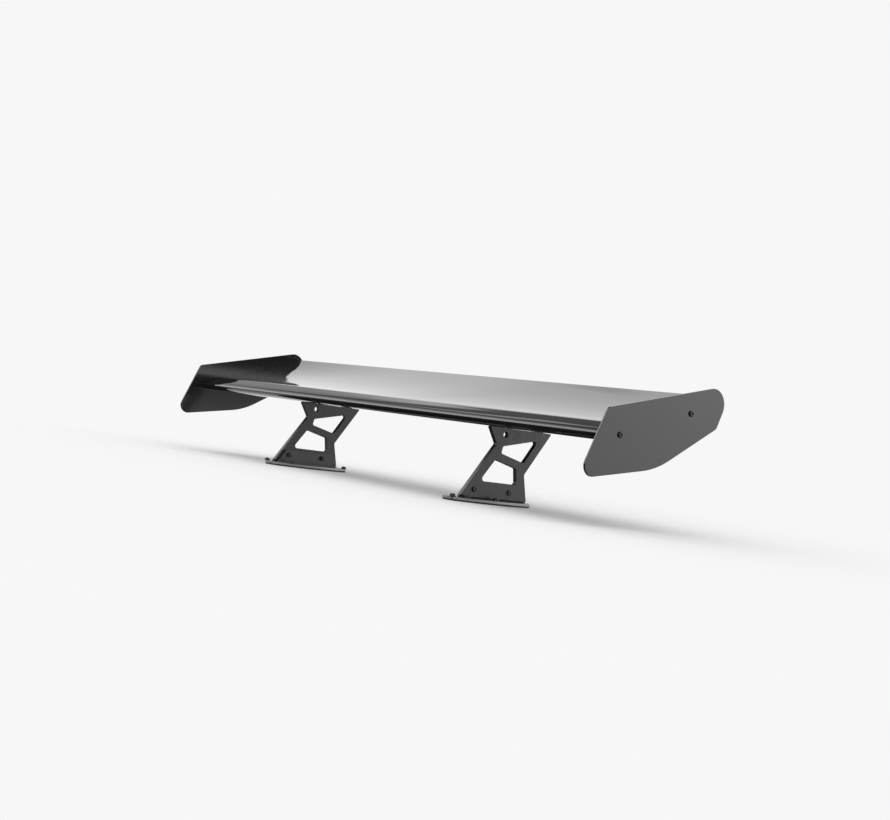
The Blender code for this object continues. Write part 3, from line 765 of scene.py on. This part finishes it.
def washer(node, tip, inner, outer, key):
    """Flat washer with softened outer rims, from its CAD box."""
    low, high = limits(node)
    height = 2 * abs(((high - low) / 2).dot(tip))
    origin = (low + high) / 2 - tip * height / 2
    soft = 0.25
    steps = [(0.0, inner), (0.0, outer - soft), (soft, outer), (height - soft, outer),
             (height, outer - soft), (height, inner)]
    loops = [placed(ring(r, 48), a, origin, tip) for a, r in steps]
    piece(f"{node}_fine", loft(loops, closed=True), [node], key)


def make_lug_screws(tag):
    """Screws up through the lug's flange, square to the blade's underside."""
    for k, y in enumerate(LUG_SCREW_Y):
        rise = math.atan2(underside(y + 1.0) - underside(y - 1.0), 2.0)
        tip = Vector((0.0, -math.sin(rise), math.cos(rise)))
        node = f"lug_screw_{k + 1}_{tag}"
        face = Vector((centre_of(node).x, y, underside(y)))
        build_screw(node, face - tip * (CLEAR + LUG_FLANGE_T + SEAT), tip, LUG_SCREW_LENGTH,
                    LUG_SCREW)


# ------------------------------------------------------------------ bases
def boat(x_mid, side, grow, count=144):
    """The base plate's rounded outline in X and Y, moved outwards by grow."""
    mid, half = sum(BASE_Y) / 2, (BASE_Y[1] - BASE_Y[0]) / 2 + grow
    out = []
    for k in range(count):
        a = math.tau * k / count
        c, s = math.cos(a), math.sin(a)
        x = x_mid + side * (BASE_HALF_X + grow) * math.copysign(abs(c) ** 0.85, c)
        out.append((x, mid + half * math.copysign(abs(s) ** 0.92, s)))
    return out


def upstand_outline(z_top, z_high):
    """Web that leans with the upright in front; round shoulders, and a flared foot behind."""
    rear, flare, shoulder = 41.0, 12.0, 15.0
    out = [(rear + flare, z_top - 1.0, 0.0)]
    out += [(rear + flare - flare * math.sin(a), z_top + flare - flare * math.cos(a), 0.0)
            for a in (math.pi / 2 * k / 12 for k in range(13))]
    out += [(rear - shoulder + shoulder * math.cos(a),
             z_high - shoulder + shoulder * math.sin(a), 0.0)
            for a in (math.pi / 2 * k / 14 for k in range(15))]
    front = [(-94.4, z_high, 8.0), (-113.4, z_top + 1.5, 3.0), (-116.5, z_top - 1.0, 0.0)]
    return rounded(out + front)


def upright_rod(x, y, z0, z1, radius):
    return loft([[(a, b, z) for a, b in circle(x, y, radius)] for z in (z0, z1)])


def side_rod(y, z, x0, x1, radius):
    return loft([[(x, a, b) for a, b in circle(y, z, radius)] for x in (x0, x1)])


def make_base(tag, side):
    """Base bracket, its gasket and the strip under the upright's foot."""
    low, high = limits(f"base_bracket_{tag}")
    pad_low, pad_high = limits(f"base_gasket_{tag}")
    x_mid = (low.x + high.x) / 2
    bottom = low.z
    top = limits(f"base_bolt_1_{tag}")[1].z - BASE_BOLT[2] - SEAT
    steps = ((bottom, -0.35), (bottom + 0.35, 0.0), (top - 1.2, 0.0), (top - 0.75, -0.14),
             (top - 0.35, -0.52), (top - 0.1, -0.95), (top, -1.5))
    slab = loft([[(x, y, z) for x, y in boat(x_mid, side, grow)] for z, grow in steps])
    face = min(abs(corner.x) for corner in limits(f"upright_{tag}")) - CLEAR
    web = solid_from(upstand_outline(top, high.z), [], side * (face - WEB_T), side * face, 0.6)
    bracket = joined(slab, web, "UNION")
    bolts = [centre_of(f"base_bolt_{k}_{tag}") for k in range(1, 6)]
    for c in bolts:
        rod = upright_rod(c.x, c.y, bottom - 1, top + 1, BOLT_HOLE)
        bracket = joined(bracket, rod, "DIFFERENCE")
    for where in ("front", "rear"):
        c = centre_of(f"side_bolt_{where}_{tag}")
        rod = side_rod(c.y, c.z, side * (face - WEB_T - 1.0), side * (face + 1.0), BOLT_HOLE)
        bracket = joined(bracket, rod, "DIFFERENCE")
    piece(f"base_bracket_{tag}_fine", bracket, [f"base_bracket_{tag}"], "anodised_grey")

    thick = pad_high.z - pad_low.z
    bulge = [(pad_low.z + thick * t, -0.6 - 0.5 * abs(2 * t - 1) ** 3) for t in
             (0.0, 0.1, 0.25, 0.5, 0.75, 0.9, 1.0)]
    pad = loft([[(x, y, z) for x, y in boat(x_mid, side, grow)] for z, grow in bulge])
    for c in bolts:
        pad = joined(pad, upright_rod(c.x, c.y, -1.0, thick + 1.0, 3.5), "DIFFERENCE")
    piece(f"base_gasket_{tag}_fine", pad, [f"base_gasket_{tag}"], "black_rubber")

    low, high = limits(f"foot_strip_{tag}")
    soft = 0.35
    rims = ((low.z, soft), (low.z + soft, 0.0), (high.z - soft, 0.0), (high.z, soft))
    loops = [[(low.x + s, low.y + s, z), (high.x - s, low.y + s, z),
              (high.x - s, high.y - s, z), (low.x + s, high.y - s, z)] for z, s in rims]
    piece(f"foot_strip_{tag}_fine", loft(loops), [f"foot_strip_{tag}"], "black_rubber")


make_blade()
for tag, side in (("left", 1.0), ("right", -1.0)):
    inward, outward, down = Vector((-side, 0, 0)), Vector((side, 0, 0)), Vector((0, 0, -1))
    make_end_plate(tag)
    make_upright(tag)
    make_lug(tag, side)
    make_base(tag, side)
    make_lug_screws(tag)
    for where in ("front", "rear"):
        screw(f"end_screw_{where}_{tag}", inward, END_SCREW)
        screw(f"side_bolt_{where}_{tag}", inward, SIDE_BOLT)
        nut(f"side_nut_{where}_{tag}", inward, "black_oxide")
    for where in ("pivot", "clamp"):
        screw(f"{where}_bolt_{tag}", inward, LUG_BOLT)
        nut(f"{where}_nut_{tag}", inward, "zinc_steel")
    washer(f"clamp_washer_{tag}", outward, 3.2, 7.6, "zinc_steel")
    for k in range(1, 6):
        screw(f"base_bolt_{k}_{tag}", down, BASE_BOLT)
# inside the blade: the CAD solids stay and only take a finish
for node in ("spar_tube", "end_rib_left", "end_rib_right", "mount_block_left", "mount_block_right"):
    key = "resin" if "block" in node else "raw_aluminium"
    NODES[node].data.materials.clear()
    NODES[node].data.materials.append(FINISH[key])


# ------------------------------------------------------------------ studio
BACKDROP = 0.93                      # radiance of the seamless white surround
FLOOR_TONE = 0.88
FLOOR_REACH, FLOOR_GAP = 4.0, 0.0002
FLOOR_FADE = (1.1, 2.6)              # distances from the middle between which the floor fades (m)
BOUNCE_SIZE, BOUNCE_AT, BOUNCE_TONE = (0.80, 1.10), (-1.00, -0.18, 0.004), 0.9
CAMERA_AT, CAMERA_LENS = (2.328, -1.829, 0.129), 55.82
CAMERA_TURN = (50.49, 0.85, 7.89)    # azimuth, elevation and roll, in degrees


class Sky(Wiring):
    """The surround as node expressions over the direction looked at, in degrees: rise is the
    angle above the horizon, and turn goes from +Y, which is behind the wing, towards -X."""

    def __init__(self, tree):
        super().__init__(tree)
        split = self.node("ShaderNodeSeparateXYZ")
        self.link(self.node("ShaderNodeTexCoord").outputs["Generated"], split.inputs["Vector"])
        x, y, z = split.outputs
        degree = math.pi / 180
        self.rise = self.maths("DIVIDE", self.maths("ARCSINE", z), degree)
        left = self.maths("MULTIPLY", x, -1.0)
        self.turn = self.maths("DIVIDE", self.maths("ARCTAN2", left, y), degree)

    def step(self, value, low, high, to_low=0.0, to_high=1.0):
        """Smooth ramp between two angles."""
        return self.remap(value, low, high, to_low, to_high, interpolation_type="SMOOTHSTEP")

    def times(self, a, b):
        return self.maths("MULTIPLY", a, b)

    def window(self, value, a, b, c, d):
        """One between b and c, zero outside a and d."""
        return self.times(self.step(value, a, b), self.step(value, c, d, 1.0, 0.0))

    def toward(self, tone, mask, goal):
        """Blend a tone towards a goal by a mask."""
        gap = self.maths("SUBTRACT", goal, tone)
        return self.maths("ADD", tone, self.times(gap, mask))


def mirrored(sky):
    """Radiance that mirror rays find. Each zone is a mask of angles and the tone it takes."""
    rise, turn = sky.rise, sky.turn
    # all round: dark below, bright from 5 degrees under the horizon up, half as bright ahead
    gloss = sky.step(rise, -11.0, -5.0, 0.02, 1.2)
    gloss = sky.times(gloss, sky.step(turn, 60.5, 66.0, 1.0, 0.5))
    gloss = sky.maths("ADD", gloss, sky.times(sky.window(turn, 54.0, 57.0, 59.5, 62.0), 0.16))
    # the ceiling, about 28 to 60 degrees up: a dark part with a bright strip, and a bright part
    ceiling = sky.times(sky.step(rise, 27.5, 29.5), sky.step(rise, 52.0, 66.0, 1.0, 0.0))
    dark_side = sky.window(turn, 50.0, 55.0, 78.0, 90.0)
    gloss = sky.toward(gloss, sky.times(ceiling, dark_side), 0.22)
    strip = sky.times(sky.window(rise, 32.0, 34.0, 37.0, 39.0),
                      sky.window(turn, 58.0, 61.0, 70.0, 76.0))
    gloss = sky.toward(gloss, strip, 1.1)
    bright_side = sky.window(turn, -20.0, 10.0, 48.0, 52.0)
    gloss = sky.toward(gloss, sky.times(ceiling, bright_side), 1.3)
    # a large panel that the nose mirrors in the main view, and the dark under it
    front = sky.times(sky.window(turn, 76.0, 84.0, 138.0, 150.0),
                      sky.window(rise, 1.0, 5.0, 44.0, 50.0))
    gloss = sky.toward(gloss, front, sky.step(turn, 84.0, 124.0, 0.9, 4.2))
    ahead = sky.times(sky.window(turn, 88.0, 98.0, 150.0, 165.0),
                      sky.step(rise, 1.0, 5.0, 1.0, 0.0))
    gloss = sky.toward(gloss, ahead, 0.05)
    # what the end plates mirror: the -X one a low lamp between dim bands, the +X one a pale side
    far = sky.window(turn, -110.0, -85.0, -54.0, -48.0)
    near = sky.window(turn, -54.0, -48.0, -25.0, -5.0)
    lamp = sky.window(rise, 9.5, 12.0, 15.0, 18.0)
    dim = sky.step(rise, 10.0, 18.0, 0.04, 0.35)
    gloss = sky.toward(gloss, far, sky.toward(dim, lamp, 3.4))
    low = sky.times(far, sky.window(rise, -16.0, -9.0, -0.6, 1.4))
    gloss = sky.toward(gloss, low, 1.3)
    gloss = sky.toward(gloss, sky.times(near, sky.step(rise, -14.0, -6.0)),
                       sky.step(rise, -6.0, 8.0, 1.7, 2.5))
    gloss = sky.times(gloss, sky.step(rise, 55.0, 80.0, 1.0, 0.75))
    # a fill below the horizon behind, for the underside
    behind = sky.maths("SUBTRACT", 1.0, sky.window(turn, -20.0, 10.0, 140.0, 165.0))
    return sky.toward(gloss, sky.times(behind, sky.step(rise, -26.0, -14.0, 1.0, 0.0)), 0.45)


def make_world():
    """White surround; soft panels above and in front are what the gloss finds."""
    world = bpy.data.worlds.new("studio")
    world.use_nodes = True
    world.cycles.sampling_method = "NONE"
    sky = Sky(world.node_tree)
    gloss = mirrored(sky)
    diffuse = sky.step(sky.rise, -12.0, 2.0, 0.30, BACKDROP / FLOOR_TONE)
    path = sky.node("ShaderNodeLightPath")
    light = sky.toward(gloss, path.outputs["Is Diffuse Ray"], diffuse)
    light = sky.toward(light, path.outputs["Is Camera Ray"], BACKDROP)
    sky.link(light, sky.tree.nodes["Background"].inputs["Color"])
    bpy.context.scene.world = world


def make_bounce():
    """Soft panel lying beside the -X end, facing up; only mirror rays find it."""
    data = bpy.data.lights.new("bounce", "AREA")
    data.shape, (data.size, data.size_y) = "RECTANGLE", BOUNCE_SIZE
    data.energy = BOUNCE_TONE * math.pi * data.size * data.size_y
    lamp = bpy.data.objects.new("bounce", data)
    lamp.location = BOUNCE_AT
    lamp.rotation_euler = (math.pi, 0.0, 0.0)
    lamp.visible_camera = False
    lamp.visible_diffuse = False
    bpy.context.scene.collection.objects.link(lamp)


def make_floor():
    """A pale disc that fades into the surround; mirror and bounce rays pass it."""
    bm = bmesh.new()
    bmesh.ops.create_circle(bm, cap_ends=True, segments=96, radius=FLOOR_REACH)
    mesh = bpy.data.meshes.new("floor")
    bm.to_mesh(mesh)
    bm.free()
    floor = bpy.data.objects.new("floor", mesh)
    floor.location.z = CAD_LOW.z - FLOOR_GAP
    floor.visible_glossy = floor.visible_diffuse = False
    bpy.context.scene.collection.objects.link(floor)
    p = Paint("pale_floor", (FLOOR_TONE,) * 3, 0.0, 0.7)
    matt = p.node("ShaderNodeBsdfDiffuse")
    matt.inputs["Color"].default_value = (*(FLOOR_TONE,) * 3, 1.0)
    reach = p.node("ShaderNodeVectorMath", operation="LENGTH")
    p.link(p.place, reach.inputs[0])
    fade = p.remap(reach.outputs["Value"], *FLOOR_FADE)
    clear = p.node("ShaderNodeBsdfTransparent")
    mix = p.node("ShaderNodeMixShader")
    p.link(fade, mix.inputs["Fac"])
    p.link(matt.outputs["BSDF"], mix.inputs[1])
    p.link(clear.outputs["BSDF"], mix.inputs[2])
    p.link(mix.outputs["Shader"], p.tree.nodes["Material Output"].inputs["Surface"])
    p.tree.nodes.remove(p.shader)
    mesh.materials.append(p.material)


def make_camera():
    """From the left front quarter, nearly level with the blade, rolled as the boot slopes."""
    azimuth, elevation, roll = (math.radians(a) for a in CAMERA_TURN)
    ahead = Vector((-math.sin(azimuth) * math.cos(elevation),
                    math.cos(azimuth) * math.cos(elevation), math.sin(elevation)))
    level = ahead.cross(Vector((0, 0, 1))).normalized()
    right = Matrix.Rotation(-roll, 3, ahead) @ level
    up = right.cross(ahead)
    data = bpy.data.cameras.new("camera")
    data.lens, data.sensor_width = CAMERA_LENS, 36.0
    camera = bpy.data.objects.new("camera", data)
    camera.matrix_world = Matrix.Translation(CAMERA_AT) @ Matrix(
        (right, up, -ahead)).transposed().to_4x4()
    bpy.context.scene.collection.objects.link(camera)
    bpy.context.scene.camera = camera


make_world()
make_bounce()
make_floor()
make_camera()
bpy.context.scene.view_settings.view_transform = "Standard"
